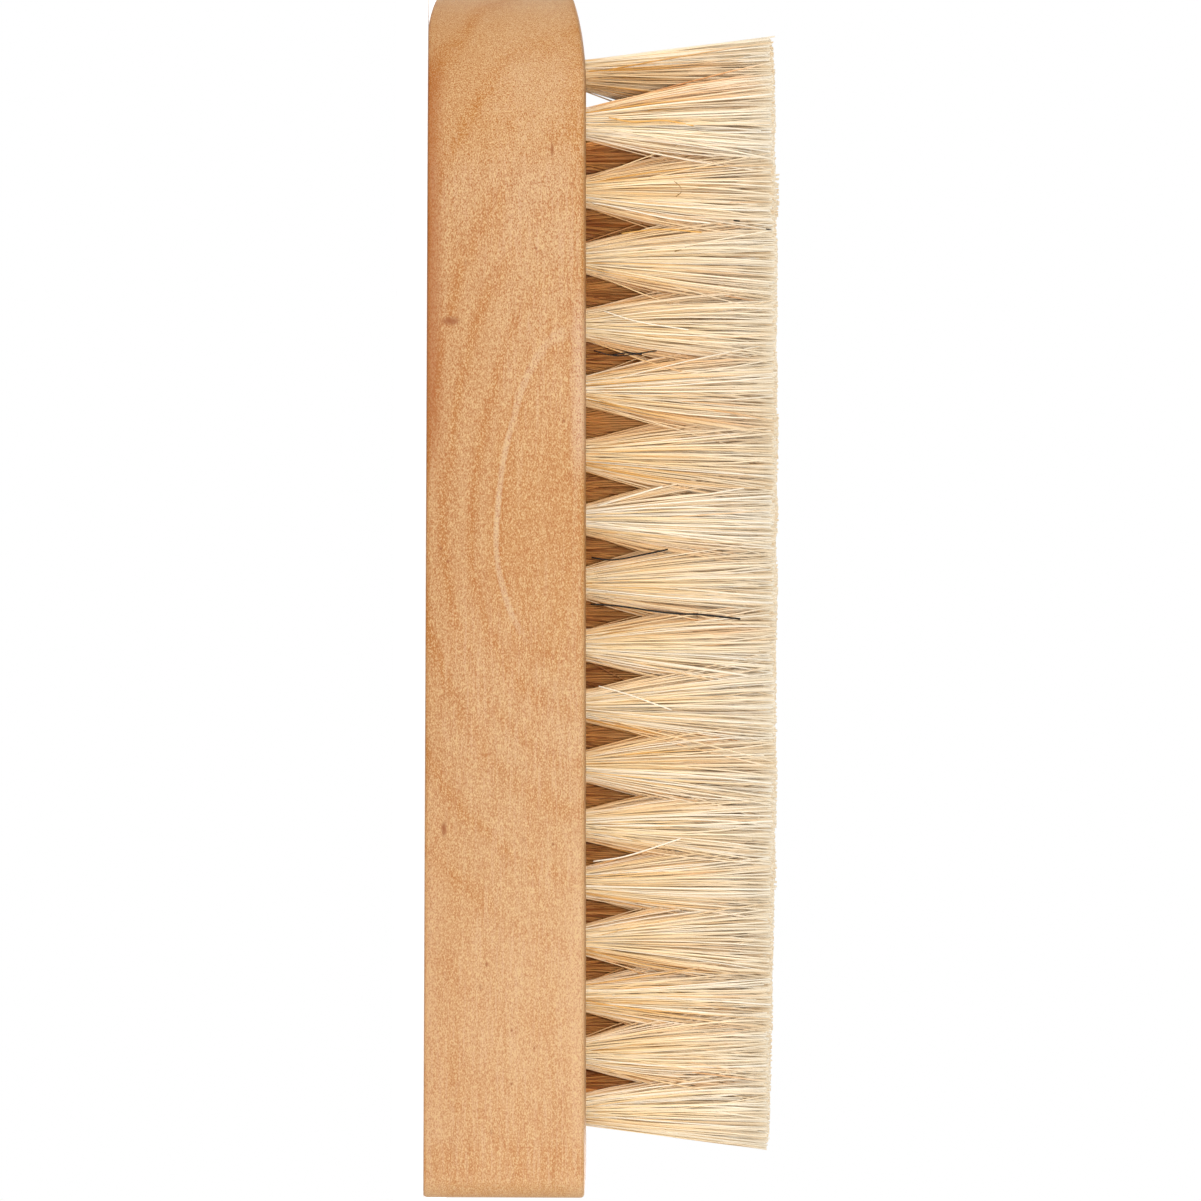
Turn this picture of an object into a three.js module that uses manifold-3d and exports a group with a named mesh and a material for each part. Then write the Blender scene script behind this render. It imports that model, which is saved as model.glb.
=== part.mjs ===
// Clothes brush: one solid wooden block, rounded at the nose and square at the other end,
// with five staggered rows of bristle tufts set in blind holes.
// Millimetres. The brush lies on its flat back on z = 0 with its bristles pointing up.
// +X runs along the length towards the square end, so the nose is at -X.
// The origin is the middle of the footprint.

import * as THREE from 'three';
import { mergeVertices } from 'three/addons/utils/BufferGeometryUtils.js';
import Module from 'manifold-3d';

// Block. It is slightly thicker at the square end, and its nose is eased on both faces.
const LENGTH = 170;
const WIDTH = 52;
const THICKNESS_AT_END = 23;
const THICKNESS_AT_NOSE = 22.3;
const END_CORNER_RADIUS = 2.5;
const EDGE_ROUNDING = 0.8;
const BACK_EASE = { length: 5, drop: 1.1 };
const BRISTLE_EASE = { length: 12.8, drop: 1.6 };

// Tuft holes. The rows run along the length, and every second row is set half a pitch on.
const ROW_SPACING = 8.2;
const ROW_TUFTS = 17;
const FIRST_TUFT_FROM_NOSE = 18.1;
const NOSE_TUFT_FROM_NOSE = 11;
const TUFT_PITCH = 8.71;
// The holes are drilled a little wider apart in the nose half than in the other half:
// the middle of a row lies this much further along than an even pitch would put it.
const PITCH_DRIFT = 4;
const HOLE_RADIUS = 2.3;
const HOLE_BOTTOM_Z = 10;

// Tufts. They fill their holes, flare as they rise, and are trimmed to a low crown.
const TUFT_GAP = 0.3;
const TUFT_TIP_RADIUS = 3.6;
const JOINED_TIP_RADIUS = 5.3;
const TIP_ROUNDING = 0.5;
const TIP_Z = 49.4;
const TIP_CROWN = 0.9;

// Facets
const TUFT_SIDES = 8;
const NOSE_SEGMENTS = 28;
const CORNER_SEGMENTS = 4;
const EASE_SEGMENTS = 6;
const ROUNDING_SEGMENTS = 2;

const NOSE_X = -LENGTH / 2;
const END_X = LENGTH / 2;
const HALF_WIDTH = WIDTH / 2;
const CUT_MARGIN = 5;
const WELD_DISTANCE = 1e-4;

const wasm = await Module();
wasm.setup();

const brush = new THREE.Group();

// ---- mesh helpers ----

// A closed three.js geometry as a solid that can be cut and joined.
function toSolid(geometry) {
  geometry.deleteAttribute('normal');
  geometry.deleteAttribute('uv');
  const welded = mergeVertices(geometry, WELD_DISTANCE);
  const corners = welded.index.array;
  const triangles = [];
  for (let i = 0; i < corners.length; i += 3) {
    const [a, b, c] = [corners[i], corners[i + 1], corners[i + 2]];
    if (a !== b && b !== c && c !== a) triangles.push(a, b, c);
  }
  return new wasm.Manifold(new wasm.Mesh({
    numProp: 3,
    vertProperties: new Float32Array(welded.attributes.position.array),
    triVerts: new Uint32Array(triangles),
  }));
}

function toGeometry(solid) {
  const mesh = solid.getMesh();
  const geometry = new THREE.BufferGeometry();
  geometry.setAttribute('position', new THREE.BufferAttribute(mesh.vertProperties, 3));
  geometry.setIndex(new THREE.BufferAttribute(mesh.triVerts, 1));
  geometry.computeVertexNormals();
  return geometry;
}

function joinAll(solids) {
  return solids.reduce((joined, solid) => joined.add(solid));
}

function addPiece(name, solid, material) {
  const mesh = new THREE.Mesh(toGeometry(solid), material);
  mesh.name = name;
  brush.add(mesh);
}

// ---- materials, one function each so that every sub-part has its own ----

function woodMaterial() {
  return new THREE.MeshStandardMaterial({ color: 0xd9a878, roughness: 0.55, metalness: 0 });
}

function bristleMaterial() {
  return new THREE.MeshStandardMaterial({ color: 0xdfc59e, roughness: 0.7, metalness: 0 });
}

// ---- block ----

// How thick the block is at x: it tapers evenly from the square end to the nose.
function thicknessAt(x) {
  return THREE.MathUtils.mapLinear(x, NOSE_X, END_X, THICKNESS_AT_NOSE, THICKNESS_AT_END);
}

// Seen from above: a half-circle nose, straight sides and a square end with small corners.
function planOutline() {
  const outline = new THREE.Shape();
  const cornerX = END_X - END_CORNER_RADIUS;
  const cornerY = HALF_WIDTH - END_CORNER_RADIUS;
  outline.moveTo(cornerX, -HALF_WIDTH);
  outline.absarc(cornerX, -cornerY, END_CORNER_RADIUS, -Math.PI / 2, 0, false);
  outline.absarc(cornerX, cornerY, END_CORNER_RADIUS, 0, Math.PI / 2, false);
  outline.absarc(NOSE_X + HALF_WIDTH, 0, HALF_WIDTH, Math.PI / 2, Math.PI * 1.5, false);
  outline.closePath();
  return outline;
}

// The outline's points, with each arc divided as finely as its size needs.
function planPoints() {
  const points = [];
  for (const curve of planOutline().curves) {
    const isArc = curve.isEllipseCurve === true;
    const isNose = isArc && curve.xRadius === HALF_WIDTH;
    const arcDivisions = isNose ? NOSE_SEGMENTS : CORNER_SEGMENTS;
    const part = curve.getPoints(isArc ? arcDivisions : 1);
    points.push(...part.slice(0, -1));
  }
  return points;
}

// The plan outline made solid, with rounded edges and the even taper in thickness.
function roundedSlab() {
  const slab = new THREE.ExtrudeGeometry(new THREE.Shape(planPoints()), {
    depth: THICKNESS_AT_END - 2 * EDGE_ROUNDING,
    bevelEnabled: true,
    bevelThickness: EDGE_ROUNDING,
    bevelSize: EDGE_ROUNDING,
    bevelOffset: -EDGE_ROUNDING,
    bevelSegments: ROUNDING_SEGMENTS,
  });
  slab.translate(0, 0, EDGE_ROUNDING);
  const position = slab.attributes.position;
  for (let i = 0; i < position.count; i += 1) {
    const taper = thicknessAt(position.getX(i)) / THICKNESS_AT_END;
    position.setZ(i, position.getZ(i) * taper);
  }
  return toSolid(slab);
}

// How far an eased face has dropped at a distance from the nose end.
function easeDrop(ease, distance) {
  return ease.drop * (1 - distance / ease.length) ** 2;
}

// Points of an eased face, from the flat part to the nose end, as [distance, drop].
function easePoints(ease) {
  const points = [];
  for (let i = 0; i <= EASE_SEGMENTS; i += 1) {
    const distance = ease.length * (1 - i / EASE_SEGMENTS);
    points.push([distance, easeDrop(ease, distance)]);
  }
  return points;
}

// Seen from the side: the block's profile, generous everywhere but at the eased nose.
function easedProfile() {
  const back = easePoints(BACK_EASE).map(
    ([distance, drop]) => new THREE.Vector2(NOSE_X + distance, drop));
  const bristleSide = easePoints(BRISTLE_EASE).map(
    ([distance, drop]) => new THREE.Vector2(
      NOSE_X + distance, thicknessAt(NOSE_X + distance) - drop));
  const outline = new THREE.Shape();
  outline.moveTo(END_X + CUT_MARGIN, -CUT_MARGIN);
  outline.lineTo(END_X + CUT_MARGIN, THICKNESS_AT_END + CUT_MARGIN);
  outline.lineTo(NOSE_X + BRISTLE_EASE.length, THICKNESS_AT_END + CUT_MARGIN);
  for (const point of bristleSide) outline.lineTo(point.x, point.y);
  outline.lineTo(NOSE_X - CUT_MARGIN, bristleSide.at(-1).y);
  outline.lineTo(NOSE_X - CUT_MARGIN, back.at(-1).y);
  for (const point of [...back].reverse()) outline.lineTo(point.x, point.y);
  outline.lineTo(NOSE_X + BACK_EASE.length, -CUT_MARGIN);
  outline.closePath();
  const depth = WIDTH + 2 * CUT_MARGIN;
  const profile = new THREE.ExtrudeGeometry(outline, { depth, bevelEnabled: false });
  profile.rotateX(Math.PI / 2);
  profile.translate(0, depth / 2, 0);
  return toSolid(profile);
}

function holeCutter([x, y]) {
  const height = THICKNESS_AT_END + CUT_MARGIN - HOLE_BOTTOM_Z;
  const cutter = new THREE.CylinderGeometry(
    HOLE_RADIUS, HOLE_RADIUS, height, TUFT_SIDES, 1, false, Math.PI / TUFT_SIDES);
  cutter.rotateX(Math.PI / 2);
  cutter.translate(x, y, HOLE_BOTTOM_Z + height / 2);
  return toSolid(cutter);
}

function addBlock(holes) {
  const body = roundedSlab().intersect(easedProfile());
  addPiece('block', body.subtract(joinAll(holes.map(holeCutter))), woodMaterial());
}

// ---- tufts ----

// Where hole number i of a row lies along the length; a half number is a staggered hole.
function holeX(i) {
  const drift = PITCH_DRIFT * Math.sin(Math.PI * i / (ROW_TUFTS - 1));
  return NOSE_X + FIRST_TUFT_FROM_NOSE + TUFT_PITCH * i + drift;
}

// The holes of one row, as [x, y]. Rows are numbered from -2 to 2 across the width.
function rowHoles(row) {
  const staggered = row % 2 !== 0;
  const count = staggered ? ROW_TUFTS - 1 : ROW_TUFTS;
  const shift = staggered ? 0.5 : 0;
  const holes = [];
  if (row === 0) holes.push([NOSE_X + NOSE_TUFT_FROM_NOSE, 0]);
  for (let i = 0; i < count; i += 1) holes.push([holeX(i + shift), row * ROW_SPACING]);
  return holes;
}

// One tuft: a plug in its hole that flares above the block and is trimmed at the tips.
function tuftSolid([x, y], tipRadius) {
  const tipZ = TIP_Z - TIP_CROWN * (x / END_X) ** 2;
  const plugRadius = HOLE_RADIUS - TUFT_GAP;
  const profile = [
    [0, HOLE_BOTTOM_Z + TUFT_GAP],
    [plugRadius, HOLE_BOTTOM_Z + TUFT_GAP],
    [plugRadius, thicknessAt(x)],
    [tipRadius, tipZ - TIP_ROUNDING],
    [tipRadius - TIP_ROUNDING, tipZ],
    [0, tipZ],
  ].map(([radius, z]) => new THREE.Vector2(radius, z));
  const tuft = new THREE.LatheGeometry(profile, TUFT_SIDES, Math.PI / TUFT_SIDES);
  tuft.rotateX(Math.PI / 2);
  tuft.translate(x, y, 0);
  return toSolid(tuft);
}

// A row of single tufts, each a piece of its own.
function addSingleTufts(rowName, holes) {
  holes.forEach((hole, i) => {
    const number = String(i + 1).padStart(2, '0');
    addPiece(`${rowName}_tuft_${number}`, tuftSolid(hole, TUFT_TIP_RADIUS), bristleMaterial());
  });
}

// A row whose flared tips run together into one brush of bristle.
function addJoinedRow(rowName, holes) {
  const tufts = holes.map((hole) => tuftSolid(hole, JOINED_TIP_RADIUS));
  addPiece(`${rowName}_tufts`, joinAll(tufts), bristleMaterial());
}

// ---- the whole brush ----

const ROWS = [
  { name: 'front_row', place: -2, add: addSingleTufts },
  { name: 'second_row', place: -1, add: addJoinedRow },
  { name: 'middle_row', place: 0, add: addSingleTufts },
  { name: 'fourth_row', place: 1, add: addJoinedRow },
  { name: 'rear_row', place: 2, add: addSingleTufts },
];

addBlock(ROWS.flatMap((row) => rowHoles(row.place)));
for (const row of ROWS) row.add(row.name, rowHoles(row.place));

export default brush;
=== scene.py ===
"""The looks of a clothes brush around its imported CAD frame.

Metres, in the frame of the CAD: the brush lies on its back on z = 0, its bristles point up +Z,
+X runs along it towards the square end, and the front row of tufts is on the -Y side.
Sizes that are easier to read in millimetres are written as a number times MM.
"""

import math

import bpy
import numpy as np
from mathutils import Matrix, Vector


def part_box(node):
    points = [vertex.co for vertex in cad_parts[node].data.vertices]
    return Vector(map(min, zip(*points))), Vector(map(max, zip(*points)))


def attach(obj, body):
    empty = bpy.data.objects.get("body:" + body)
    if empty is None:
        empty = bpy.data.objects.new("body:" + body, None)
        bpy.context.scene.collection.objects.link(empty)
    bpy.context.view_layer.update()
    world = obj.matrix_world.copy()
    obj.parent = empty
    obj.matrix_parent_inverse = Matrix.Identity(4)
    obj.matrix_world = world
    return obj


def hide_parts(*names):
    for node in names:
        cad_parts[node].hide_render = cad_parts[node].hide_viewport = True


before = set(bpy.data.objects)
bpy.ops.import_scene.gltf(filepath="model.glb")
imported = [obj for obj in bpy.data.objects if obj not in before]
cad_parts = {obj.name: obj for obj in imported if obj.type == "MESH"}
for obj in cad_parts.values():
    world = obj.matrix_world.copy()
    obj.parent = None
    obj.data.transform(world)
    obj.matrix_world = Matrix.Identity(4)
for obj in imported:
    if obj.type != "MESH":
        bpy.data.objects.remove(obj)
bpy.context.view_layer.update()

MM = 0.001
ROOT = "root"

# ---- places taken from the CAD frame ----

block_low, block_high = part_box("block")
NOSE_X = block_low.x
END_X = block_high.x
HALF_WIDTH = block_high.y
THICKNESS_AT_END = block_high.z


def middle(node):
    """The middle of a CAD node's box."""
    low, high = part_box(node)
    return (low + high) / 2


# The outermost tufts' places, and how far apart the tufts of a row are.
first_x, last_x = middle("middle_row_tuft_01").x, middle("middle_row_tuft_18").x
front_y, rear_y = middle("front_row_tuft_01").y, middle("rear_row_tuft_01").y
ROW_PITCH = middle("front_row_tuft_02").x - middle("front_row_tuft_01").x

# ---- sizes of the block ----

TAPER = 0.7 * MM
THICKNESS_AT_NOSE = THICKNESS_AT_END - TAPER
END_CORNER_RADIUS = 2.5 * MM
SMALLEST_CORNER = 0.4 * MM
EDGE_INSET = 0.45 * MM
EDGE_HEIGHT = 0.55 * MM
EDGE_STEPS = 6
NOSE_STEPS = 96
CORNER_STEPS = 10
SIDE_STEPS = 24
SHARP_BLOCK_ANGLE = 30

# How a face falls away towards an edge: the length of the fall, and how deep it is.
NOSE_EASE_BACK = (5.3 * MM, 1.25 * MM)
NOSE_EASE_BRISTLE = (12.8 * MM, 1.6 * MM)
HAND_EASE = (6.0 * MM, 0.28 * MM)

# How far in from the outline the rings of points on the back and on the top lie.
BACK_INSETS = [4 * MM, 2 * MM]
TOP_INSETS = [inset * MM for inset in (0.8, 1.2, 1.8, 2.6, 3.6, 4.8, 6.2, 7.8, 9.6, 11.4, 13.0)]

# ---- sizes of the holes, tufts and anchors ----

HOLE_RADIUS = 2.3 * MM
HOLE_CHAMFER = 0.12 * MM
HOLE_POINT = 0.9 * MM
HOLE_SIDES = 32
CUT_MARGIN = 2 * MM
PLUG_GAP = 0.3 * MM
ROOT_RADIUS = 2.2 * MM
BRISTLES_PER_TUFT = 620
BRISTLE_RADIUS = 0.095 * MM
BRISTLE_SIDES = 4
# How thick a bristle is at the block and at its tip, as shares of its own radius.
SHARE_AT_BLOCK, SHARE_AT_TIP = 0.9, 1.3
FLARE_FREE = math.tan(math.radians(6.6))
FLARE_BETWEEN = math.tan(math.radians(9.0))


def thickness_at(x):
    """The block's thickness at x: it tapers evenly from the square end to the nose."""
    share = (x - NOSE_X) / (END_X - NOSE_X)
    return THICKNESS_AT_NOSE + (THICKNESS_AT_END - THICKNESS_AT_NOSE) * share


def ease(distance, length_and_drop):
    """How far an eased face has dropped at this distance from its edge."""
    length, drop = length_and_drop
    return drop * max(0.0, 1 - distance / length) ** 2


# ---- block ----

def arc(centre_x, centre_y, radius, start, end, steps):
    """Points on an arc, without its last one, from start to end degrees."""
    points = []
    for i in range(steps):
        angle = math.radians(start + (end - start) * i / steps)
        points.append((centre_x + radius * math.cos(angle), centre_y + radius * math.sin(angle)))
    return points


def plan_ring(inset):
    """The block's outline from above, moved in by inset, anticlockwise."""
    corner = max(END_CORNER_RADIUS - inset, SMALLEST_CORNER)
    corner_x = END_X - inset - corner
    corner_y = HALF_WIDTH - inset - corner
    nose_x = NOSE_X + HALF_WIDTH
    side = HALF_WIDTH - inset
    ring = arc(corner_x, -corner_y, corner, -90, 0, CORNER_STEPS)
    ring += arc(corner_x, corner_y, corner, 0, 90, CORNER_STEPS)
    ring += [(corner_x + (nose_x - corner_x) * i / SIDE_STEPS, side) for i in range(SIDE_STEPS)]
    ring += arc(nose_x, 0, side, 90, 270, NOSE_STEPS)
    ring += [(nose_x + (corner_x - nose_x) * i / SIDE_STEPS, -side) for i in range(SIDE_STEPS)]
    return ring


def bottom_z(x):
    """The height of the block's back, which is eased at the nose."""
    return ease(x - NOSE_X, NOSE_EASE_BACK)


def top_z(x, inset):
    """The height of the face that holds the bristles, eased at the nose and round its rim."""
    return thickness_at(x) - ease(x - NOSE_X, NOSE_EASE_BRISTLE) - ease(inset, HAND_EASE)


def block_rings():
    """Closed rings of points round the block, from the middle of its back up to its top."""
    rings = []
    for inset in BACK_INSETS:
        rings.append([(x, y, bottom_z(x)) for x, y in plan_ring(inset)])
    quarter = [math.pi / 2 * i / EDGE_STEPS for i in range(EDGE_STEPS + 1)]
    for angle in quarter:
        inset = EDGE_INSET * (1 - math.sin(angle))
        rise = EDGE_HEIGHT * (1 - math.cos(angle))
        rings.append([(x, y, bottom_z(x) + rise) for x, y in plan_ring(inset)])
    for angle in reversed(quarter):
        inset = EDGE_INSET * (1 - math.sin(angle))
        fall = EDGE_HEIGHT * (1 - math.cos(angle))
        rings.append([(x, y, top_z(x, inset) - fall) for x, y in plan_ring(inset)])
    for inset in TOP_INSETS:
        rings.append([(x, y, top_z(x, inset)) for x, y in plan_ring(inset)])
    return rings


def mesh_object(name, vertices, faces):
    """A new object in the scene with a mesh of these vertices and faces."""
    mesh = bpy.data.meshes.new(name)
    mesh.from_pydata(vertices, [], faces)
    mesh.update()
    piece = bpy.data.objects.new(name, mesh)
    bpy.context.scene.collection.objects.link(piece)
    return piece


def solid_block():
    """The block before it is drilled, as one closed mesh."""
    rings = block_rings()
    count = len(rings[0])
    vertices = [point for ring in rings for point in ring]
    faces = [list(reversed(range(count)))]
    for r in range(len(rings) - 1):
        low, high = r * count, (r + 1) * count
        for i in range(count):
            j = (i + 1) % count
            faces.append((low + i, low + j, high + j, high + i))
    faces.append(list(range((len(rings) - 1) * count, len(rings) * count)))
    return mesh_object("wood_block", vertices, faces)


def hole_cutter(holes):
    """All the drills as one mesh. Each has a cone point, a straight wall and a wider mouth."""
    vertices, faces = [], []
    for x, y, bottom in holes:
        top = thickness_at(x)
        profile = [
            (HOLE_RADIUS, bottom),
            (HOLE_RADIUS, top - HOLE_CHAMFER),
            (HOLE_RADIUS + HOLE_CHAMFER, top),
            (HOLE_RADIUS + HOLE_CHAMFER, top + CUT_MARGIN),
        ]
        first = len(vertices)
        for radius, z in profile:
            for i in range(HOLE_SIDES):
                angle = 2 * math.pi * i / HOLE_SIDES
                vertices.append((x + radius * math.cos(angle), y + radius * math.sin(angle), z))
        vertices.append((x, y, bottom - HOLE_POINT))
        tip = len(vertices) - 1
        for r in range(len(profile) - 1):
            low, high = first + r * HOLE_SIDES, first + (r + 1) * HOLE_SIDES
            for i in range(HOLE_SIDES):
                j = (i + 1) % HOLE_SIDES
                faces.append((low + i, low + j, high + j, high + i))
        for i in range(HOLE_SIDES):
            faces.append((tip, first + (i + 1) % HOLE_SIDES, first + i))
        last = first + (len(profile) - 1) * HOLE_SIDES
        faces.append(list(range(last, last + HOLE_SIDES)))
    return mesh_object("drills", vertices, faces)


def drill(piece, holes):
    """Cuts the holes, each an (x, y, bottom z), into the piece."""
    cutter = hole_cutter(holes)
    cut = piece.modifiers.new("holes", "BOOLEAN")
    cut.operation = "DIFFERENCE"
    cut.solver = "MANIFOLD"
    cut.object = cutter
    evaluated = piece.evaluated_get(bpy.context.evaluated_depsgraph_get())
    drilled = bpy.data.meshes.new_from_object(evaluated)
    piece.modifiers.clear()
    piece.data = drilled
    bpy.data.objects.remove(cutter)


def smooth(piece, degrees):
    """Shades the piece smooth, except at edges sharper than this angle."""
    piece.data.shade_smooth()
    piece.data.set_sharp_from_angle(angle=math.radians(degrees))


# ---- where the tufts are ----

def single_tufts():
    """The tufts that have a CAD node each, as (name, x, y, lowest z, highest z)."""
    found = []
    for node in sorted(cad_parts):
        if "_tuft_" in node:
            low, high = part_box(node)
            found.append((node, (low.x + high.x) / 2, (low.y + high.y) / 2, low.z, high.z))
    return found


def joined_tufts(node, row_tufts):
    """The same for a row that is one CAD node. Each of its tufts lies halfway between two
    tufts of the outer row beside it."""
    low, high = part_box(node)
    y = (low.y + high.y) / 2
    found = []
    for i in range(len(row_tufts) - 1):
        here, beyond = row_tufts[i], row_tufts[i + 1]
        name = f"{node[:-1]}_{i + 1:02d}"
        found.append((name, (here[1] + beyond[1]) / 2, y, low.z, (here[4] + beyond[4]) / 2))
    return found


# ---- tufts ----

# Heights along a bristle above the block, as shares of its free length.
LEVELS = np.array([0.0, 0.15, 0.34, 0.55, 0.78, 1.0])
GOLDEN_ANGLE = math.pi * (3 - math.sqrt(5))

# Where a bristle starts. In the hole a tuft is folded round its anchor, which parts it in two,
# and it is drawn in to these shares of its width on X and Y.
FOLD_GAP = 0.3 * MM
FOLD_NARROWING = (0.8, 0.75)
LOWEST_START = 0.2 * MM
START_RANGE = 0.4 * MM
SUNK_ROOT = 0.2 * MM

# How the bristles of a tuft differ. A spread is one standard deviation.
ROOT_SPREAD = 0.05 * MM
FLARE_SPREAD = 0.14
CLUMPS = 12
CLUMP_OVERLAP = 0.8 * MM
CLUMP_SPREAD = 0.6 * MM
LEAN_SPREAD = 0.6 * MM
STRAY_SHARE = 0.09
STRAY_SPREAD = 2.0 * MM
CROWN = 0.5 * MM
TUFT_TRIM = (-0.22 * MM, 0.12 * MM)
TRIM_SPREAD = 0.17 * MM
SHORT_SHARE = 0.08
SHORT_BY = (0.3 * MM, 4 * MM)
BOW_BETWEEN = 0.5 * MM
BOW_SPREAD = 0.3 * MM
WAVE_SPREAD = 0.1 * MM
RADIUS_RANGE = (0.75, 1.3)
TONE_SPREAD = 0.17
CLUMP_TONE_SPREAD = 0.08

# On a free side the bristles keep closer to a straight face.
FREE_SIDE_STARTS = 0.5
FREE_SIDE_LEAN = 0.25
FREE_SIDE_BOW = 0.3
FREE_SIDE_WAVE = 0.4
BOW_FREE = 0.1 * MM
FREE_SIDE_ROOM = 0.4 * MM
FREE_SIDE_PULL = 0.85

# The painted shade of the bristles, brown at their roots where the tufts shade each other: it
# starts this far inside the field and is full this much deeper.
PAINTED_SHADE_START = 0.35 * MM
PAINTED_SHADE_DEPTH = 2.8 * MM
# The nose tuft stands alone, so it gets only this share of the painted shade.
NOSE_TUFT_PAINTED_SHADE = 0.15


def side_flares(x, y):
    """How far a tuft spreads per unit of height towards -X, +X, -Y and +Y.
    Towards a neighbour the bristles mingle; on a free side they stand in a straight face."""
    return [
        FLARE_FREE if x < first_x + ROW_PITCH / 2 else FLARE_BETWEEN,
        FLARE_FREE if x > last_x - ROW_PITCH / 2 else FLARE_BETWEEN,
        FLARE_FREE if y < front_y + ROW_PITCH / 2 else FLARE_BETWEEN,
        FLARE_FREE if y > rear_y - ROW_PITCH / 2 else FLARE_BETWEEN,
    ]


def by_side(values, flares):
    """The flare on the side of the tuft that each x and y value points to."""
    return np.where(values < 0, flares[0::2], flares[1::2])


def clump_numbers(rng, root, radial):
    """The number of the clump that each bristle stands in, mostly the nearest one."""
    places = radial[rng.integers(0, len(root), CLUMPS)] * rng.uniform(0.2, 1, (CLUMPS, 1))
    distance = np.linalg.norm(root[:, None, :] - places[None, :, :] * ROOT_RADIUS, axis=2)
    return np.argmin(distance + rng.uniform(0, CLUMP_OVERLAP, distance.shape), axis=1)


def tip_offsets(rng, root, slope, free_side, clump_of, flares, length):
    """How far each bristle's tip stands from straight above its root."""
    n = len(root)
    clump_shift = rng.normal(0, CLUMP_SPREAD, (CLUMPS, 2))
    lean = rng.normal(0, LEAN_SPREAD, (n, 2))
    strays = rng.random(n) < STRAY_SHARE
    lean[strays] += rng.normal(0, STRAY_SPREAD, (int(strays.sum()), 2))
    wander = (clump_shift[clump_of] + lean) * np.where(free_side, FREE_SIDE_LEAN, 1)
    reach = slope * length + wander
    tips = root + reach
    limit = ROOT_RADIUS + FLARE_FREE * length + FREE_SIDE_ROOM
    leaves = by_side(tips, flares) == FLARE_FREE
    beyond = np.where(leaves, np.maximum(np.abs(tips) - limit, 0), 0)
    return reach - np.sign(tips) * beyond * FREE_SIDE_PULL


def trim_heights(rng, spread, clump_of):
    """How far each bristle ends above or below the tuft's trimmed height."""
    n = len(spread)
    crown = CROWN * (0.5 - spread * spread) + rng.uniform(*TUFT_TRIM)
    trim = crown + rng.normal(0, TRIM_SPREAD, CLUMPS)[clump_of]
    trim -= np.abs(rng.normal(0, TRIM_SPREAD, n))
    short = rng.random(n) < SHORT_SHARE
    trim[short] -= rng.uniform(*SHORT_BY, int(short.sum()))
    return trim


def tuft_paths(rng, x, y, bottom, face, tip):
    """The paths, radii, tones and painted root shade of a tuft's bristles."""
    n = BRISTLES_PER_TUFT
    order = np.arange(n)
    spread = np.sqrt((order + 0.5) / n)
    angle = order * GOLDEN_ANGLE + rng.uniform(0, 2 * math.pi)
    radial = np.stack([np.cos(angle), np.sin(angle)], axis=1)
    root = radial * (spread * ROOT_RADIUS)[:, None]
    root += rng.normal(0, ROOT_SPREAD, (n, 2))

    length = tip - face
    flares = side_flares(x, y)
    flare = by_side(radial, flares)
    is_free = flare == FLARE_FREE
    free_side = is_free & (spread[:, None] * np.abs(radial) > FREE_SIDE_STARTS)
    flare = flare * (spread * (1 + FLARE_SPREAD * rng.normal(size=n)))[:, None]
    clump_of = clump_numbers(rng, root, radial)
    reach = tip_offsets(rng, root, radial * flare, free_side, clump_of, flares, length)
    trim = trim_heights(rng, spread, clump_of)

    bow = radial * np.where(is_free, BOW_FREE, BOW_BETWEEN) * spread[:, None]
    bow += rng.normal(0, BOW_SPREAD, (n, 2)) * np.where(free_side, FREE_SIDE_BOW, 1)
    wave_size = rng.normal(0, WAVE_SPREAD, (n, 2)) * np.where(free_side, FREE_SIDE_WAVE, 1)
    wave_phase = rng.uniform(0, 2 * math.pi, n)

    paths = np.empty((n, len(LEVELS) + 1, 3))
    side = np.where(root[:, 1] >= 0, 1.0, -1.0)
    paths[:, 0, 0] = x + root[:, 0] * FOLD_NARROWING[0]
    paths[:, 0, 1] = y + root[:, 1] * FOLD_NARROWING[1] + side * FOLD_GAP
    paths[:, 0, 2] = bottom + LOWEST_START + rng.uniform(0, START_RANGE, n)
    for k, s in enumerate(LEVELS):
        wave = wave_size * np.sin(2 * math.pi * s + wave_phase)[:, None] * s
        flat = root + reach * s + bow * 4 * s * (1 - s) + wave
        paths[:, k + 1, 0] = x + flat[:, 0]
        paths[:, k + 1, 1] = y + flat[:, 1]
        paths[:, k + 1, 2] = face + (length + trim) * s
    paths[:, 1, 2] -= SUNK_ROOT

    radii = BRISTLE_RADIUS * rng.uniform(*RADIUS_RANGE, n)
    tones = 0.5 + TONE_SPREAD * rng.normal(size=n)
    tones += CLUMP_TONE_SPREAD * rng.normal(size=CLUMPS)[clump_of]
    return paths, radii, np.clip(tones, 0.1, 1), painted_root_shades(x + root[:, 0], y + root[:, 1])


def painted_root_shades(x, y):
    """How much painted shade each bristle has at its root: 0 at the outside of the field, 1 far
    inside it, where the tufts shade it.
    """
    depth = np.minimum.reduce([rear_y - y, y - front_y, last_x - x, x - first_x]) + ROOT_RADIUS
    share = np.where(x < first_x + ROW_PITCH / 2, NOSE_TUFT_PAINTED_SHADE, 1.0)
    return np.clip((depth - PAINTED_SHADE_START) / PAINTED_SHADE_DEPTH, 0, 1) * share


def painted_shade_left(along):
    """How much of a bristle's painted root shade is left at each height: there is none at the
    tip.
    """
    return np.maximum((1 - along) ** 1.2, 0.9 * (1 - along ** 8))


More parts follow.
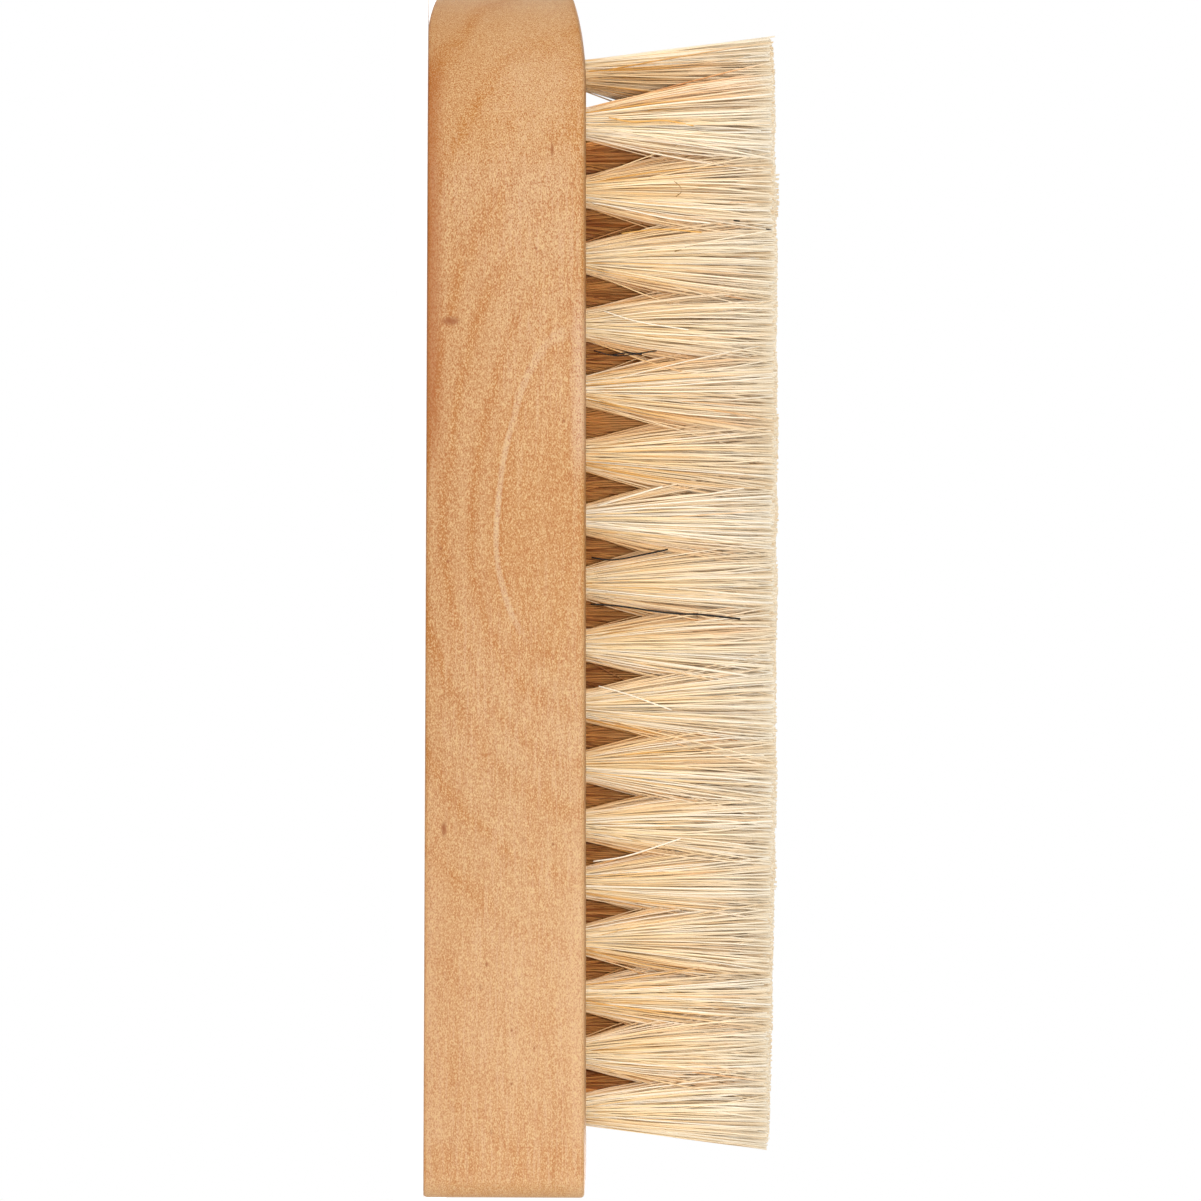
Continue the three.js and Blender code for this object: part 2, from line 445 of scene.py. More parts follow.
def tube_mesh(name, paths, radii, tones, shades, along):
    """Thin closed tubes along the paths, as one mesh with three values on each vertex: tone,
    which is one number per bristle, along, from 0 at the block to 1 at the tip, and shade, which
    is how much painted shade, golden to brown, the bristle has there."""
    count, steps, _ = paths.shape
    sides = BRISTLE_SIDES
    taper = SHARE_AT_BLOCK + (SHARE_AT_TIP - SHARE_AT_BLOCK) * along
    angles = 2 * math.pi * np.arange(sides) / sides
    offsets = np.stack([np.cos(angles), np.sin(angles), np.zeros(sides)], axis=1)
    size = radii[:, None] * taper[None, :]
    points = paths[:, :, None, :] + offsets[None, None] * size[:, :, None, None]
    vertices = points.reshape(-1, 3)

    first = (np.arange(count) * steps * sides)[:, None, None]
    level = (np.arange(steps - 1) * sides)[None, :, None]
    i = np.arange(sides)[None, None, :]
    j = (i + 1) % sides
    quads = np.stack(
        [first + level + i, first + level + j,
         first + level + sides + j, first + level + sides + i], axis=-1).reshape(-1, 4)
    start = np.arange(count) * steps * sides
    low_caps = start[:, None] + np.arange(sides)[::-1][None, :]
    high_caps = start[:, None] + (steps - 1) * sides + np.arange(sides)[None, :]

    loops = np.concatenate([quads.ravel(), low_caps.ravel(), high_caps.ravel()])
    sizes = np.concatenate([np.full(len(quads), 4), np.full(2 * count, sides)])
    starts = np.concatenate([[0], np.cumsum(sizes)[:-1]])
    mesh = bpy.data.meshes.new(name)
    mesh.vertices.add(len(vertices))
    mesh.vertices.foreach_set("co", vertices.astype(np.float32).ravel())
    mesh.loops.add(len(loops))
    mesh.loops.foreach_set("vertex_index", loops.astype(np.int32))
    mesh.polygons.add(len(sizes))
    mesh.polygons.foreach_set("loop_start", starts.astype(np.int32))
    mesh.update(calc_edges=True)
    mesh.shade_smooth()
    for label, values in (
        ("tone", np.repeat(tones, steps * sides)),
        ("along", np.tile(np.repeat(along, sides), count)),
        ("shade", np.repeat((shades[:, None] * painted_shade_left(along)[None, :]).ravel(), sides)),
    ):
        layer = mesh.attributes.new(label, "FLOAT", "POINT")
        layer.data.foreach_set("value", values.astype(np.float32))
    return mesh


def tuft(name, x, y, low, tip, seed, material):
    """One tuft of separate bristles, as one piece."""
    rng = np.random.default_rng(seed)
    made = tuft_paths(rng, x, y, low, thickness_at(x), tip)
    along = np.concatenate([[0.0], LEVELS])
    piece = bpy.data.objects.new(name, tube_mesh(name, *made, along))
    bpy.context.scene.collection.objects.link(piece)
    piece.data.materials.append(material)
    return piece


# ---- single hairs that lie on the front of the tufts ----

DARK, BROWN, AMBER, PALE = 0.0, 0.055, 0.11, 0.9
# Each hair: its tone, its radius in mm, and the points (x, z) that it passes, in mm.
LOOSE_HAIRS = [
    (DARK, 0.14, [(1.0, 23.3), (1.2, 27.0), (2.2, 34.5), (2.4, 39.0), (3.0, 44.5)]),
    (DARK, 0.12, [(-5.6, 23.4), (-5.3, 26.5), (-6.0, 30.5), (-6.8, 34.2)]),
    (DARK, 0.11, [(-34.3, 26.3), (-34.6, 28.3), (-34.4, 30.4)]),
    (DARK, 0.09, [(-34.9, 23.6), (-34.2, 27.0), (-34.9, 32.5)]),
    (BROWN, 0.07, [(-58.9, 34.9), (-58.2, 35.7), (-57.4, 35.9), (-56.8, 35.2)]),
    (DARK, 0.11, [(-53.4, 43.3), (-53.3, 44.2)]),
    (DARK, 0.10, [(-52.2, 47.9), (-52.0, 48.8)]),
    (BROWN, 0.10, [(-49.0, 35.0), (-49.5, 36.6)]),
    (AMBER, 0.12, [(-67.9, 25.6), (-67.3, 29.0), (-67.5, 33.4), (-66.8, 37.6)]),
    (AMBER, 0.13, [(-73.8, 27.5), (-73.9, 30.6), (-74.3, 33.2)]),
    (AMBER, 0.11, [(-51.5, 27.5), (-52.1, 33.0), (-51.7, 38.8)]),
    (PALE, 0.11, [(-75.9, 31.7), (-74.9, 33.3), (-73.2, 33.9), (-71.4, 33.2), (-70.1, 31.7)]),
    (PALE, 0.11, [(-55.8, 23.3), (-55.4, 26.0), (-53.7, 33.9), (-53.0, 40.0)]),
    (PALE, 0.12, [(-12.9, 24.2), (-13.9, 27.5), (-15.7, 33.4)]),
    (PALE, 0.11, [(12.6, 24.5), (13.7, 28.5), (15.9, 34.8)]),
    (PALE, 0.12, [(37.4, 23.8), (36.6, 28.6), (34.1, 36.2)]),
    (PALE, 0.10, [(-40.5, 25.0), (-39.0, 30.0), (-37.9, 37.0)]),
]
HAIR_STEPS = 20
# A hair keeps the colour that it has near its root.
HAIR_ALONG = 0.2
HAIR_CLEARANCE = 0.25 * MM
HAIR_SLOPE = FLARE_FREE + 0.012


def front_of_tuft(y, z):
    """The Y at which a hair rests on the flared front of the tufts at y, at height z."""
    rise = z - THICKNESS_AT_END
    return y - ROOT_RADIUS - HAIR_CLEARANCE - max(0.0, rise) * HAIR_SLOPE


def smooth_curve(points, steps):
    """Points along a Catmull-Rom curve through the given ones."""
    ends = [2 * points[0] - points[1], *points, 2 * points[-1] - points[-2]]
    found = []
    for k in range(steps):
        place = k / (steps - 1) * (len(points) - 1)
        i = min(int(place), len(points) - 2)
        t = place - i
        a, b, c, d = ends[i:i + 4]
        found.append(0.5 * (2 * b + (c - a) * t + (2 * a - 5 * b + 4 * c - d) * t ** 2
                            + (3 * b - a - 3 * c + d) * t ** 3))
    return found


def loose_hairs(material):
    """All the loose hairs as one piece. Those at the nose rest on the nose tuft, which is in
    the middle row, and the others on the front row."""
    paths = []
    nose_tuft_end = first_x + ROW_PITCH / 2
    nose_tuft_y = middle("middle_row_tuft_01").y
    for _, _, points in LOOSE_HAIRS:
        tuft_y = nose_tuft_y if points[0][0] * MM < nose_tuft_end else front_y
        places = [Vector((x * MM, front_of_tuft(tuft_y, z * MM), z * MM)) for x, z in points]
        paths.append([list(point) for point in smooth_curve(places, HAIR_STEPS)])
    tones = np.array([tone for tone, _, _ in LOOSE_HAIRS])
    radii = np.array([radius * MM for _, radius, _ in LOOSE_HAIRS])
    along = np.linspace(0.0, HAIR_ALONG, HAIR_STEPS)
    mesh = tube_mesh("loose_hairs", np.array(paths), radii, tones, np.zeros(len(tones)), along)
    piece = bpy.data.objects.new("loose_hairs", mesh)
    bpy.context.scene.collection.objects.link(piece)
    piece.data.materials.append(material)
    return piece


# ---- anchors ----

ANCHOR_LENGTH = 5.1 * MM
ANCHOR_HEIGHT = 1.7 * MM
ANCHOR_THICKNESS = 0.35 * MM
ANCHOR_FROM_BOTTOM = 0.7 * MM
ANCHOR_ROUNDING = 0.12 * MM
SHARP_ANCHOR_ANGLE = 40
BOX_FACES = [(0, 3, 2, 1), (4, 5, 6, 7), (0, 1, 5, 4), (1, 2, 6, 5), (2, 3, 7, 6), (3, 0, 4, 7)]


def anchors(name, holes, material):
    """One flat strip of wire for each hole, standing on edge across the tuft near its bottom."""
    vertices, faces = [], []
    for x, y, bottom in holes:
        first = len(vertices)
        z = bottom + ANCHOR_FROM_BOTTOM
        half, thick = ANCHOR_LENGTH / 2, ANCHOR_THICKNESS / 2
        for height in (0, ANCHOR_HEIGHT):
            for dx, dy in ((-half, -thick), (half, -thick), (half, thick), (-half, thick)):
                vertices.append((x + dx, y + dy, z + height))
        faces += [tuple(first + i for i in face) for face in BOX_FACES]
    piece = mesh_object(name, vertices, faces)
    bevel = piece.modifiers.new("rolled_edges", "BEVEL")
    bevel.width = ANCHOR_ROUNDING
    bevel.segments = 2
    smooth(piece, SHARP_ANCHOR_ANGLE)
    piece.data.materials.append(material)
    return piece


# ---- materials ----

def srgb(r, g, b):
    """An 8-bit screen colour as a linear colour."""
    def linear(value):
        value /= 255
        return value / 12.92 if value <= 0.04045 else ((value + 0.055) / 1.055) ** 2.4
    return (linear(r), linear(g), linear(b), 1.0)


class Nodes:
    """A new material's node tree, with short ways to add and link nodes."""

    def __init__(self, name):
        self.material = bpy.data.materials.new(name)
        self.material.use_nodes = True
        self.tree = self.material.node_tree
        self.shader = self.tree.nodes["Principled BSDF"]

    def add(self, kind, **settings):
        node = self.tree.nodes.new(kind)
        for key, value in settings.items():
            setattr(node, key, value)
        return node

    def link(self, source, target):
        self.tree.links.new(source, target)

    def position(self, scale):
        """Object coordinates times a scale per axis."""
        coordinates = self.add("ShaderNodeTexCoord")
        mapping = self.add("ShaderNodeMapping")
        mapping.inputs["Scale"].default_value = scale
        self.link(coordinates.outputs["Object"], mapping.inputs["Vector"])
        return mapping.outputs["Vector"]

    def noise(self, scale, detail=2.0, rough=0.5):
        """Noise from 0 to 1. On each axis its grains are about a metre divided by the scale."""
        node = self.add("ShaderNodeTexNoise")
        node.inputs["Scale"].default_value = 1.0
        node.inputs["Detail"].default_value = detail
        node.inputs["Roughness"].default_value = rough
        self.link(self.position(scale), node.inputs["Vector"])
        return node.outputs["Fac"]

    def math(self, operation, a, b=None, c=None):
        node = self.add("ShaderNodeMath", operation=operation)
        for socket, value in zip(node.inputs, (a, b, c)):
            if isinstance(value, (int, float)):
                socket.default_value = value
            elif value is not None:
                self.link(value, socket)
        return node.outputs[0]

    def ramp(self, factor, stops):
        """A colour ramp. stops are (position, linear colour)."""
        node = self.add("ShaderNodeValToRGB")
        elements = node.color_ramp.elements
        while len(elements) < len(stops):
            elements.new(0.5)
        for element, (place, colour) in zip(elements, stops):
            element.position = place
            element.color = colour
        self.link(factor, node.inputs["Fac"])
        return node.outputs["Color"]

    def mix(self, factor, a, b):
        """Colour a where the factor is 0 and colour b where it is 1."""
        node = self.add("ShaderNodeMix", data_type="RGBA")
        self.link(factor, node.inputs["Factor"])
        for socket, value in ((node.inputs[6], a), (node.inputs[7], b)):
            if isinstance(value, tuple):
                socket.default_value = value
            else:
                self.link(value, socket)
        return node.outputs[2]

    def tint(self, colour, mask, strength, shade):
        """The colour, turned towards the shade by the strength where the mask is 1."""
        return self.mix(self.math("MULTIPLY", mask, strength), colour, shade)

    def fade(self, value, zero_at, one_at):
        """A smooth step from 0 to 1 as value goes from zero_at to one_at."""
        step = self.add("ShaderNodeMapRange", interpolation_type="SMOOTHSTEP")
        step.inputs["From Min"].default_value = zero_at
        step.inputs["From Max"].default_value = one_at
        self.link(value, step.inputs["Value"])
        return step.outputs["Result"]

    def distance(self, value, middle):
        """How far the value is from the middle, on either side."""
        return self.math("ABSOLUTE", self.math("SUBTRACT", value, middle))


# A surface that faces sideways reflects this share of white as plain gloss, and the studio
# lights it this many times as brightly as its own colour.
GLOSS = 0.07
STUDIO_LIGHT = 1.4


def seen(r, g, b):
    """The colour of a surface that looks like this 8-bit screen colour in the studio."""
    return (*((max(value - GLOSS, 0) / STUDIO_LIGHT) for value in srgb(r, g, b)[:3]), 1.0)


# Colours of the wood.
WARM = seen(214, 158, 105)
TAN = seen(218, 168, 120)
BAND = seen(205, 143, 89)
PALE_RING = seen(240, 210, 174)
PALE_CLOUD = seen(226, 184, 142)
ORANGE_CLOUD = seen(211, 147, 93)
PALE_END = seen(233, 182, 134)
# Pale rims; along the edge beside the bristles they are a painted highlight.
PALE_RIM = seen(244, 204, 162)
ORANGE_EDGE = seen(206, 144, 88)
# A painted highlight on the edge beside the bristles.
PAINTED_EDGE_HIGHLIGHT = seen(244, 210, 180)
PALE_STREAK = seen(232, 192, 148)
DARK_STREAK = seen(205, 146, 95)
BRUSHED = seen(240, 200, 160)
FLECK = seen(245, 208, 156)
PORE = seen(192, 122, 66)
BROWN_STRIPE = seen(190, 118, 62)
MARK = seen(172, 108, 64)

# The oval growth-ring figure of the front side. A ring is where the distance from its centre,
# measured in these half lengths, has one value. The pale ring is at 1.
FIGURE_CENTRE = (-9 * MM, -26 * MM, 20 * MM)
FIGURE_TO_NOSE = 28.2 * MM
FIGURE_TO_END = 19 * MM
FIGURE_ACROSS = 24 * MM
FIGURE_TO_BACK = 10 * MM
FIGURE_TILT = math.radians(1)
FARTHEST_RING = 6.0
# The orange bands outside the pale ring: where each starts, is deepest and ends.
RING_BANDS = [
    (1.2, 1.34, 1.44), (1.6, 1.7, 1.8), (1.92, 2.02, 2.16), (2.45, 2.55, 2.66),
    (2.95, 3.08, 3.2), (3.6, 3.75, 3.9), (3.9, 4.5, 4.65), (4.65, 5.3, 5.45),
]

# Small brown marks on the front side: (x, z, half length, half width), in millimetres.
MARKS = [
    (-63.3, 17.6, 1.0, 0.22), (-68.3, 3.6, 0.35, 0.3), (-49.3, 15.4, 0.22, 0.2),
    (-39.0, 3.4, 0.6, 1.2), (-24.9, 19.4, 0.25, 0.22), (-6.8, 2.1, 0.2, 0.2),
    (-5.0, 3.1, 0.2, 0.2), (32.9, 2.7, 1.1, 0.35), (35.0, 18.1, 0.25, 0.2),
    (52.0, 8.8, 0.3, 0.2), (61.3, 12.4, 0.22, 0.17), (63.8, 15.6, 0.22, 0.17),
    (68.9, 12.4, 0.22, 0.17),
]
MARK_DEPTH = 1.5 * MM


def from_point(nodes, point):
    """The vector from a point of the object to the place being coloured."""
    coordinates = nodes.add("ShaderNodeTexCoord")
    centred = nodes.add("ShaderNodeVectorMath", operation="SUBTRACT")
    nodes.link(coordinates.outputs["Object"], centred.inputs[0])
    centred.inputs[1].default_value = point
    return centred.outputs["Vector"]


def ring_distance(nodes):
    """How many half lengths a point lies from the middle of the growth-ring figure."""
    turned = nodes.add("ShaderNodeVectorRotate", rotation_type="Y_AXIS")
    nodes.link(from_point(nodes, FIGURE_CENTRE), turned.inputs["Vector"])
    turned.inputs["Angle"].default_value = -FIGURE_TILT
    split = nodes.add("ShaderNodeSeparateXYZ")
    nodes.link(turned.outputs["Vector"], split.inputs["Vector"])
    x, y, z = split.outputs
    to_end = nodes.math("DIVIDE", nodes.math("MAXIMUM", x, 0.0), FIGURE_TO_END)
    to_nose = nodes.math("DIVIDE", nodes.math("MINIMUM", x, 0.0), FIGURE_TO_NOSE)
    scaled = nodes.add("ShaderNodeCombineXYZ")
    nodes.link(nodes.math("ADD", to_end, to_nose), scaled.inputs["X"])
    nodes.link(nodes.math("DIVIDE", y, FIGURE_ACROSS), scaled.inputs["Y"])
    nodes.link(nodes.math("DIVIDE", z, FIGURE_TO_BACK), scaled.inputs["Z"])
    length = nodes.add("ShaderNodeVectorMath", operation="LENGTH")
    nodes.link(scaled.outputs["Vector"], length.inputs[0])
    wobble = nodes.math("SUBTRACT", nodes.noise((28, 50, 70)), 0.5)
    reach = nodes.math("MULTIPLY_ADD", length.outputs["Value"], 0.22, 0.02)
    return nodes.math("ADD", nodes.math("MULTIPLY", wobble, reach), length.outputs["Value"])


def ring_stops():
    """The colours across the rings, for a ramp: warm inside the pale ring, tan outside it."""
    stops = {0.0: WARM, 0.88: WARM, 0.94: BAND, 1.06: WARM}
    for start, deepest, end in RING_BANDS:
        stops.update({start: TAN, deepest: BAND, end: TAN})
    return [(place / FARTHEST_RING, shade) for place, shade in sorted(stops.items())]


def rings_colour(nodes, x, z):
    """The growth rings, with one pale ring that fades out towards the bristles."""
    ring = ring_distance(nodes)
    colour = nodes.ramp(nodes.math("DIVIDE", ring, FARTHEST_RING), ring_stops())
    on_ring = nodes.fade(nodes.distance(ring, 1.0), 0.056, 0.014)
    pale = nodes.math("MULTIPLY", on_ring, nodes.fade(z, 22.5 * MM, 18.5 * MM))
    pale = nodes.math("MULTIPLY", pale, nodes.fade(x, 8 * MM, 2 * MM))
    patchy = nodes.math("MULTIPLY_ADD", nodes.noise((120, 200, 300)), 1.0, 0.1)
    return nodes.tint(colour, pale, patchy, PALE_RING)


def add_ends_and_edges(nodes, colour, blush, x, z):
    """Paler wood towards the square end, an orange band before it, and the block's edges, with
    painted highlights along the edge beside the bristles.
    """
    colour = nodes.tint(colour, nodes.fade(x, 25 * MM, 60 * MM), 0.45, PALE_END)
    # Pale rims along both long edges of the square-end half; beside the bristles this is a
    # painted highlight.
    pale_rims_and_highlight = nodes.math("MULTIPLY", nodes.fade(nodes.distance(z, 11.5 * MM), 7 * MM, 11 * MM),
                      nodes.fade(x, 15 * MM, 50 * MM))
    colour = nodes.tint(colour, pale_rims_and_highlight, 0.45, PALE_RIM)
    end_band = nodes.math("MULTIPLY", nodes.fade(nodes.distance(x, 80 * MM), 4 * MM, 1 * MM),
                          nodes.fade(blush, 0.35, 0.6))
    colour = nodes.tint(colour, end_band, 0.5, ORANGE_CLOUD)
    # The edge beside the bristles is more orange, and a pale painted highlight lies on its
    # rounding around x = -30 mm.
    edge = nodes.math("MULTIPLY", nodes.fade(z, 18.5 * MM, 21 * MM),
                      nodes.fade(x, 10 * MM, -10 * MM))
    colour = nodes.tint(colour, edge, 0.5, ORANGE_EDGE)
    edge_highlight = nodes.math("MULTIPLY", nodes.fade(z, 19.8 * MM, 21.6 * MM),
                        nodes.fade(nodes.distance(x, -30 * MM), 16 * MM, 7 * MM))
    return nodes.tint(colour, edge_highlight, 0.6, PAINTED_EDGE_HIGHLIGHT)


def add_grain(nodes, colour, cloud, fleck, x):
    """Long faint streaks, then fine pale flecks and dark pores along the grain."""
    streak = nodes.noise((45, 900, 800), rough=0.6)
    colour = nodes.tint(colour, nodes.fade(streak, 0.52, 0.75), 0.35, PALE_STREAK)
    colour = nodes.tint(colour, nodes.fade(streak, 0.48, 0.3), 0.3, DARK_STREAK)
    brushed = nodes.fade(nodes.noise((170, 3300, 3300), 1.0), 0.45, 0.7)
    brushed = nodes.math("MULTIPLY", brushed, nodes.fade(cloud, 0.4, 0.6))
    colour = nodes.tint(colour, brushed, 0.45, BRUSHED)
    colour = nodes.tint(colour, nodes.fade(fleck, 0.48, 0.72), 0.9, FLECK)
    # The pores are darker in the nose half.
    darkness = nodes.math("MULTIPLY_ADD", nodes.fade(x, 60 * MM, -40 * MM), 0.3, 0.55)
    return nodes.tint(colour, nodes.fade(fleck, 0.5, 0.29), darkness, PORE)


def mark_mask(nodes, x, z, half_length, half_width):
    """1 in the middle of one small mark on the front side, fading to 0 past its edge."""
    scaled = nodes.add("ShaderNodeVectorMath", operation="DIVIDE")
    nodes.link(from_point(nodes, (x * MM, -HALF_WIDTH, z * MM)), scaled.inputs[0])
    scaled.inputs[1].default_value = (half_length * MM, MARK_DEPTH, half_width * MM)
    length = nodes.add("ShaderNodeVectorMath", operation="LENGTH")
    nodes.link(scaled.outputs["Vector"], length.inputs[0])
    return nodes.fade(length.outputs["Value"], 1.5, 0.3)


def add_marks(nodes, colour):
    """Small brown marks: fine ones all over, and the larger ones of the front side."""
    specks = nodes.add("ShaderNodeTexVoronoi")
    specks.inputs["Scale"].default_value = 1.0
    nodes.link(nodes.position((90, 200, 200)), specks.inputs["Vector"])
    fine = nodes.math("MULTIPLY", nodes.fade(specks.outputs["Distance"], 0.07, 0.02),
                      nodes.fade(nodes.noise((40, 40, 40), 0.0), 0.5, 0.56))
    colour = nodes.tint(colour, fine, 0.4, MARK)
    marks = mark_mask(nodes, *MARKS[0])
    for mark in MARKS[1:]:
        marks = nodes.math("MAXIMUM", marks, mark_mask(nodes, *mark))
    return nodes.tint(colour, marks, 0.8, MARK)


def wood_material():
    """Pale fruitwood. Every place in it is in the block's own coordinates."""
    nodes = Nodes("fruitwood")
    split = nodes.add("ShaderNodeSeparateXYZ")
    nodes.link(nodes.add("ShaderNodeTexCoord").outputs["Object"], split.inputs["Vector"])
    x, y, z = split.outputs

    # Growth rings, then broad clouds of paler wood and of more orange wood.
    colour = rings_colour(nodes, x, z)
    cloud = nodes.noise((20, 55, 55), 3.0)
    colour = nodes.tint(colour, nodes.fade(cloud, 0.45, 0.75), 0.6, PALE_CLOUD)
    blush = nodes.noise((34, 90, 120))
    colour = nodes.tint(colour, nodes.fade(blush, 0.52, 0.75), 0.5, ORANGE_CLOUD)

    colour = add_ends_and_edges(nodes, colour, blush, x, z)
    fleck = nodes.noise((4200, 7480, 7300), 1.0)
    colour = add_grain(nodes, colour, cloud, fleck, x)

    # A browner stripe along the front's back edge in the nose half.
    low_edge = nodes.fade(nodes.math("MULTIPLY_ADD", cloud, 3 * MM, z), 4.4 * MM, 2.0 * MM)
    stripe = nodes.math("MULTIPLY", low_edge, nodes.fade(x, -12 * MM, -30 * MM))
    stripe = nodes.math("MULTIPLY", stripe, nodes.fade(y, -16 * MM, -24 * MM))
    colour = nodes.tint(colour, stripe, 0.6, BROWN_STRIPE)
    colour = add_marks(nodes, colour)

    nodes.link(colour, nodes.shader.inputs["Base Color"])
    nodes.link(nodes.math("MULTIPLY_ADD", fleck, 0.2, 0.42), nodes.shader.inputs["Roughness"])
    nodes.shader.inputs["Specular IOR Level"].default_value = 0.35
    bump = nodes.add("ShaderNodeBump")
    bump.inputs["Strength"].default_value = 0.3
    bump.inputs["Distance"].default_value = 0.02 * MM
    nodes.link(fleck, bump.inputs["Height"])
    nodes.link(bump.outputs["Normal"], nodes.shader.inputs["Normal"])
    return nodes.material


def bristle_material():
    """Natural bristle: its tone differs from one to the next and its tip is paler, and golden to
    brown shade is painted into its colour where the tufts shade it."""
    nodes = Nodes("natural_bristle")
    # shade is how much painted shade the bristle has at each point.
    tone, along, shade = (
        nodes.add("ShaderNodeAttribute", attribute_name=name).outputs["Fac"]
        for name in ("tone", "along", "shade")
    )
    colour = nodes.ramp(tone, [
        (0.0, srgb(24, 14, 8)),
        (0.04, srgb(60, 44, 30)),
        (0.08, srgb(222, 164, 76)),
        (0.25, srgb(238, 201, 144)),
        (0.5, srgb(244, 219, 174)),
        (0.8, srgb(248, 236, 214)),
    ])
    tip = nodes.mix(tone, srgb(224, 204, 172), srgb(240, 232, 216))
    colour = nodes.tint(colour, nodes.fade(along, 0.2, 1.0), 0.75, tip)
    # Painted shade: golden where the tufts shade the bristles.
    deep = nodes.mix(nodes.fade(tone, 0.2, 0.8), srgb(220, 140, 54), srgb(245, 186, 104))
    colour = nodes.tint(colour, shade, 0.85, deep)
    # Painted shade: a darker brown at the roots farthest inside the field, where the tufts shade
    # them most.
    root = nodes.mix(nodes.fade(tone, 0.25, 0.75), srgb(150, 64, 12), srgb(244, 160, 70))
    colour = nodes.tint(colour, nodes.fade(shade, 0.7, 1.0), 0.75, root)
    nodes.link(colour, nodes.shader.inputs["Base Color"])
    nodes.shader.inputs["Roughness"].default_value = 0.4
    nodes.shader.inputs["Specular IOR Level"].default_value = 0.3
    return nodes.material


def wire_material():
    """Drawn steel wire, with a fine grain along it."""
    nodes = Nodes("anchor_wire")
    grain = nodes.noise((300, 3000, 3000))
    colour = nodes.mix(grain, srgb(150, 148, 144), srgb(190, 188, 184))
    nodes.link(colour, nodes.shader.inputs["Base Color"])
    nodes.shader.inputs["Metallic"].default_value = 1.0
    nodes.shader.inputs["Roughness"].default_value = 0.35
    return nodes.material


def floor_material():
    """White paper that glows a little, so that it stays white to its edge."""
    nodes = Nodes("pale_floor")
    nodes.shader.inputs["Base Color"].default_value = (0.95, 0.95, 0.95, 1)
    nodes.shader.inputs["Emission Color"].default_value = (1, 1, 1, 1)
    nodes.shader.inputs["Emission Strength"].default_value = FLOOR_GLOW
    nodes.shader.inputs["Roughness"].default_value = 0.9
    nodes.shader.inputs["Specular IOR Level"].default_value = 0.1
    return nodes.material


# ---- studio ----

CAMERA_DISTANCE = 8.0
CAMERA_NEAR, CAMERA_FAR = 0.1, 100
SENSOR = 36.0
# The length of the brush that fills the frame, and the point in the middle of the frame.
FRAME_HEIGHT = 170.4 * MM
AIM = Vector((0.45 * MM, 0, 24.7 * MM))

FLOOR_RADIUS = 1.2
FLOOR_CORNERS = 96
FLOOR_DROP = 0.02 * MM
FLOOR_GLOW = 0.2

# How brightly the world lights the brush, and how bright it is behind it.
WORLD_LIGHT = 0.43
WORLD_SEEN = 1.0

# The soft boxes: name, place, the point each faces, width and height, and power in watts.
SOFT_BOXES = [
    ("front_box", (0, -2.9, 0.12), (0, 0, 0.025), (0.2, 0.6), 50),
    ("nose_box", (-1.3, -0.75, 0.5), (-0.05, 0, 0.025), (0.9, 0.9), 9),
    ("end_box", (1.2, -0.9, 0.25), (0.05, 0, 0.025), (0.9, 0.9), 4.5),
    ("top_box", (0.1, 0.4, 1.25), (0, 0, 0), (1.2, 1.2), 9),
    ("rear_box", (0.5, 2.4, 1.1), (0, 0, 0.025), (1.2, 1.2), 25),
]


def studio_camera():
    """A long lens level with the brush, turned so that the nose is up, the bristles point right
    and the face that holds them is upright."""
    data = bpy.data.cameras.new("camera")
    data.sensor_width = SENSOR
    data.lens = SENSOR * CAMERA_DISTANCE / FRAME_HEIGHT
    data.clip_start = CAMERA_NEAR
    data.clip_end = CAMERA_FAR
    camera = bpy.data.objects.new("camera", data)
    slope = math.atan((THICKNESS_AT_END - THICKNESS_AT_NOSE) / (END_X - NOSE_X))
    up = Vector((-math.cos(slope), 0, -math.sin(slope)))
    back = Vector((0, -1, 0))
    right = up.cross(back)
    turn = Matrix((right, up, back)).transposed()
    camera.matrix_world = Matrix.Translation(AIM + back * CAMERA_DISTANCE) @ turn.to_4x4()
    bpy.context.scene.collection.objects.link(camera)
    bpy.context.scene.camera = camera


def area_light(name, place, aim, size, power):
    """A white soft box that lights the brush but isn't seen itself."""
    data = bpy.data.lights.new(name, "AREA")
    data.shape = "RECTANGLE"
    data.size, data.size_y = size
    data.energy = power
    light = bpy.data.objects.new(name, data)
    direction = Vector(aim) - Vector(place)
    light.rotation_mode = "QUATERNION"
    light.rotation_quaternion = direction.to_track_quat("-Z", "Y")
    light.location = place
    light.visible_camera = False
    bpy.context.scene.collection.objects.link(light)


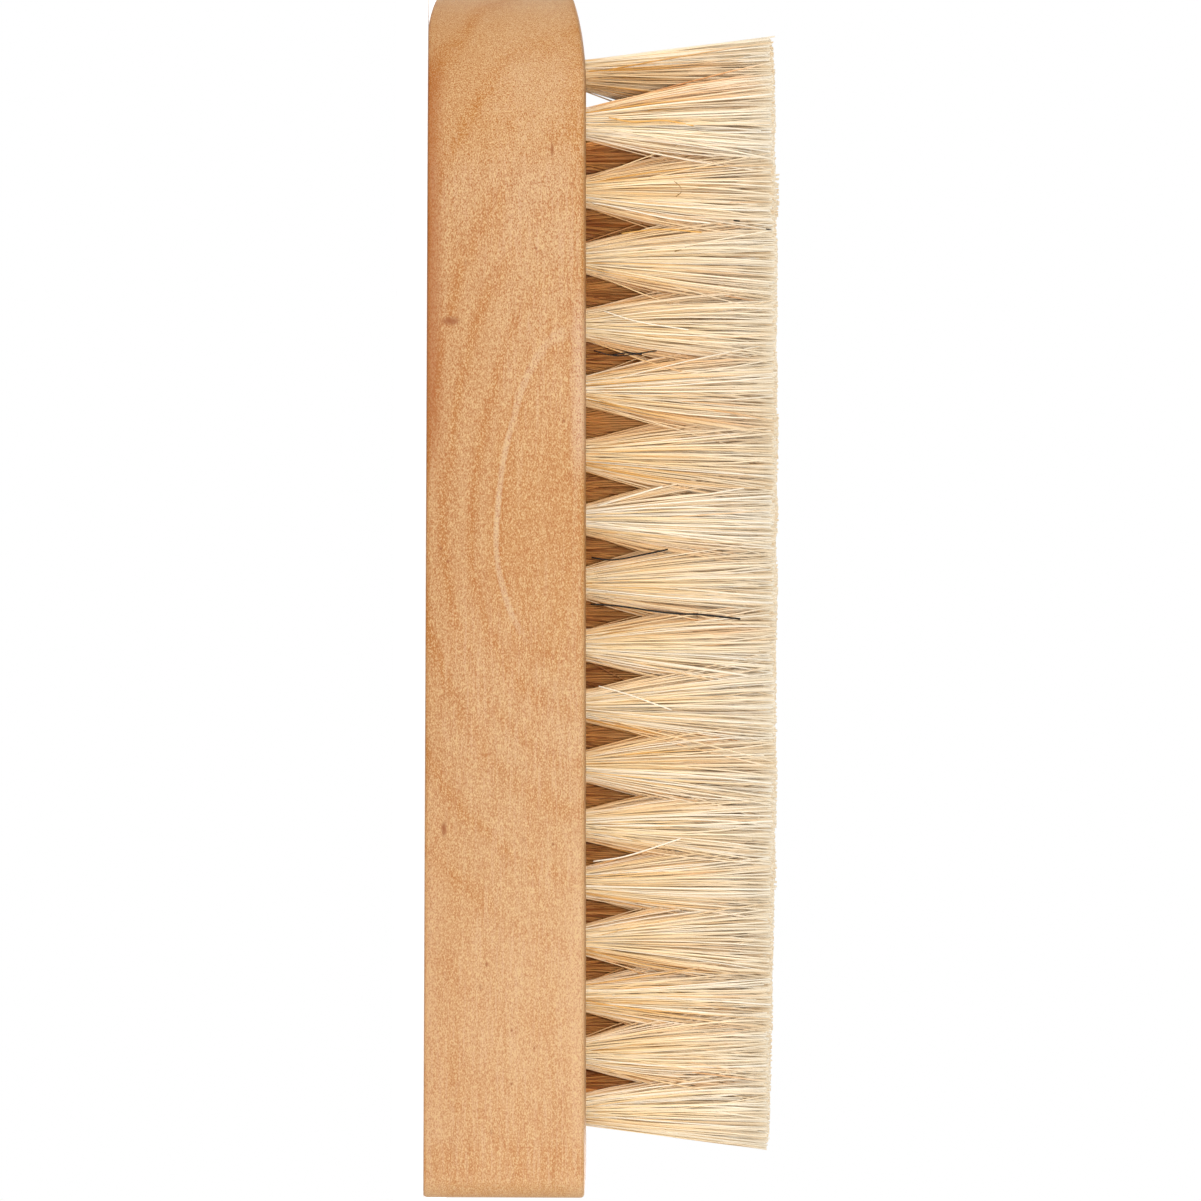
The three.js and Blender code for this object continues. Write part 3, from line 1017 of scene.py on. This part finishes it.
def studio_world():
    """A white surround that is brighter to the camera than as a light."""
    world = bpy.data.worlds.new("studio")
    world.use_nodes = True
    tree = world.node_tree
    background = tree.nodes["Background"]
    path = tree.nodes.new("ShaderNodeLightPath")
    strength = tree.nodes.new("ShaderNodeMapRange")
    strength.inputs["To Min"].default_value = WORLD_LIGHT
    strength.inputs["To Max"].default_value = WORLD_SEEN
    tree.links.new(path.outputs["Is Camera Ray"], strength.inputs["Value"])
    tree.links.new(strength.outputs["Result"], background.inputs["Strength"])
    background.inputs["Color"].default_value = (1, 1, 1, 1)
    bpy.context.scene.world = world


def studio_floor(material):
    """A round pale floor just under the brush."""
    corners = [(x, y, 0) for x, y in arc(0, 0, FLOOR_RADIUS, 0, 360, FLOOR_CORNERS)]
    floor = mesh_object("floor", corners, [list(range(FLOOR_CORNERS))])
    floor.location.z = -FLOOR_DROP
    floor.data.materials.append(material)


def studio_lights():
    for box in SOFT_BOXES:
        area_light(*box)
    bpy.context.scene.view_settings.view_transform = "Standard"


# ---- the brush ----

FIRST_SEED = 101


def drilled_block(holes, material):
    """The block with a hole for each tuft."""
    block = solid_block()
    drill(block, holes)
    smooth(block, SHARP_BLOCK_ANGLE)
    block.data.materials.clear()
    block.data.materials.append(material)
    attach(block, ROOT)
    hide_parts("block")


def build():
    studio_camera()
    studio_world()
    studio_floor(floor_material())
    studio_lights()

    wood, bristle, wire = wood_material(), bristle_material(), wire_material()
    rows = {}
    for place in single_tufts():
        rows.setdefault(place[0].split("_tuft_")[0], []).append(place)
    joined = {
        "second_row": joined_tufts("second_row_tufts", rows["front_row"]),
        "fourth_row": joined_tufts("fourth_row_tufts", rows["rear_row"]),
    }
    rows.update(joined)
    row_holes = {
        row_name: [(x, y, low - PLUG_GAP) for _, x, y, low, _ in row]
        for row_name, row in rows.items()
    }
    drilled_block([hole for holes in row_holes.values() for hole in holes], wood)

    seed = FIRST_SEED
    for row_name, row in rows.items():
        for name, x, y, low, tip in row:
            piece_name = name.replace("_tuft_", "_bristles_")
            piece = tuft(piece_name, x, y, low, tip, seed, bristle)
            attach(piece, ROOT)
            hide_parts(f"{row_name}_tufts" if row_name in joined else name)
            seed += 1
        staples = anchors(f"{row_name}_anchors", row_holes[row_name], wire)
        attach(staples, ROOT)

    hairs = loose_hairs(bristle)
    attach(hairs, ROOT)


build()
